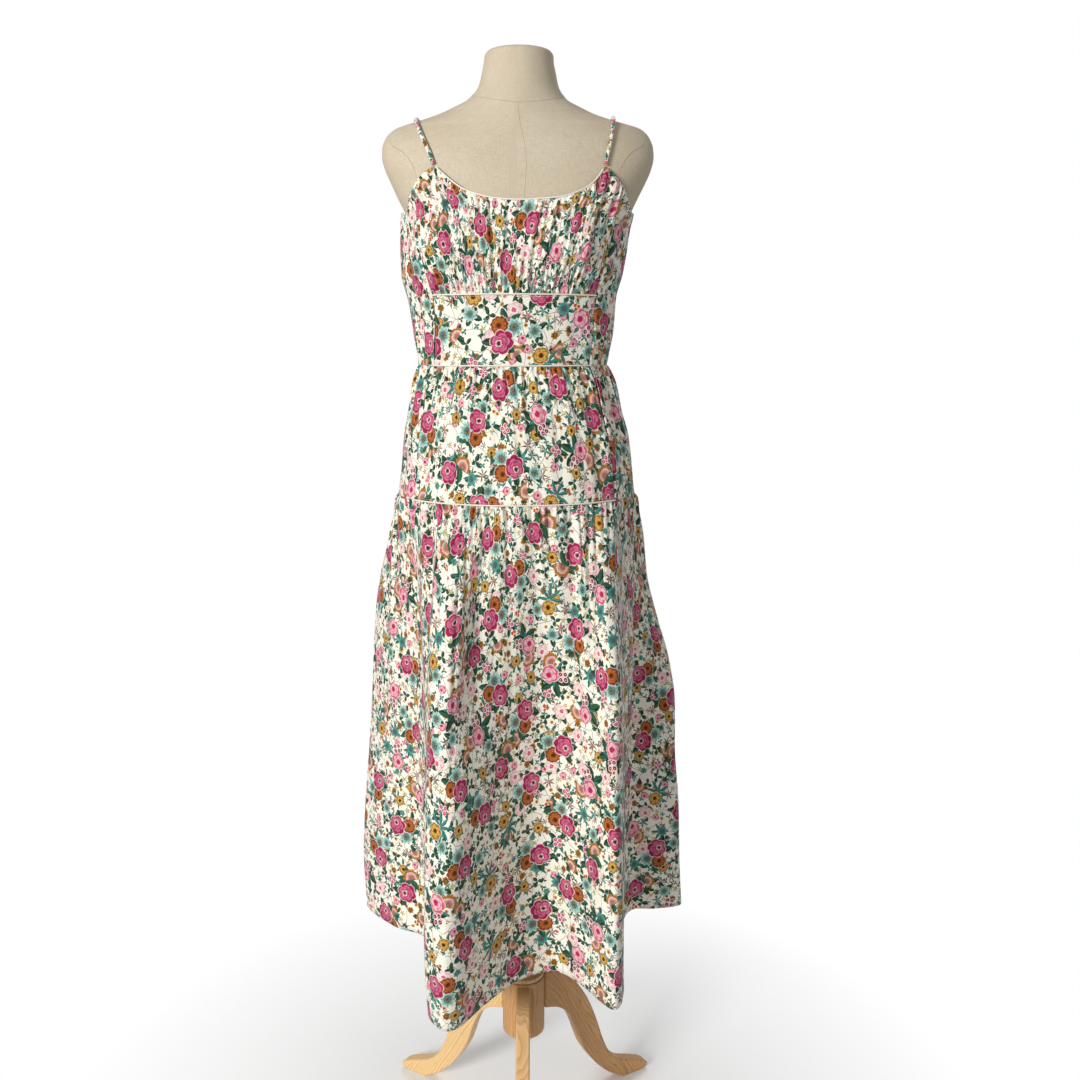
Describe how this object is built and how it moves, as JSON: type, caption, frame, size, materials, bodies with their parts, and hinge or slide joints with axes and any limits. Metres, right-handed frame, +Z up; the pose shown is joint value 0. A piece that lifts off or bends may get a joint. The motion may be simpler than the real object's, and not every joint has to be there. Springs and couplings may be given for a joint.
{
  "type": "sundress on dress form with stand",
  "caption": "Long tiered sundress in floral cotton with spaghetti straps, on a linen dress form with a neck and a wooden tripod stand",
  "frame": {"origin": "middle of the object's box, on the floor that the three feet stand on", "axes": "+Z up, -Y towards the front of the dress, +X to the viewer's right"},
  "size_m": [0.5288, 0.4822, 1.616],
  "materials": {
    "cotton": "printed cotton voile, matt",
    "piping": "cream cotton piping, matt",
    "linen": "fine linen cover, matt",
    "wood": "clear satin lacquer"
  },
  "bodies": {
    "root": {"bust_front": "cotton", "midriff_front": "cotton", "back_bodice": "cotton", "upper_skirt_front": "cotton", "upper_skirt_back": "cotton", "lower_skirt_front": "cotton", "lower_skirt_back": "cotton", "strap_left": "cotton", "strap_right": "cotton", "piping_neckline": "piping", "piping_underbust": "piping", "piping_waist": "piping", "piping_hip": "piping", "form_torso": "linen", "pole": "wood", "hub": "wood", "hub_collar": "wood", "leg_front": "wood", "leg_left": "wood", "leg_right": "wood"}
  },
  "joints": []
}
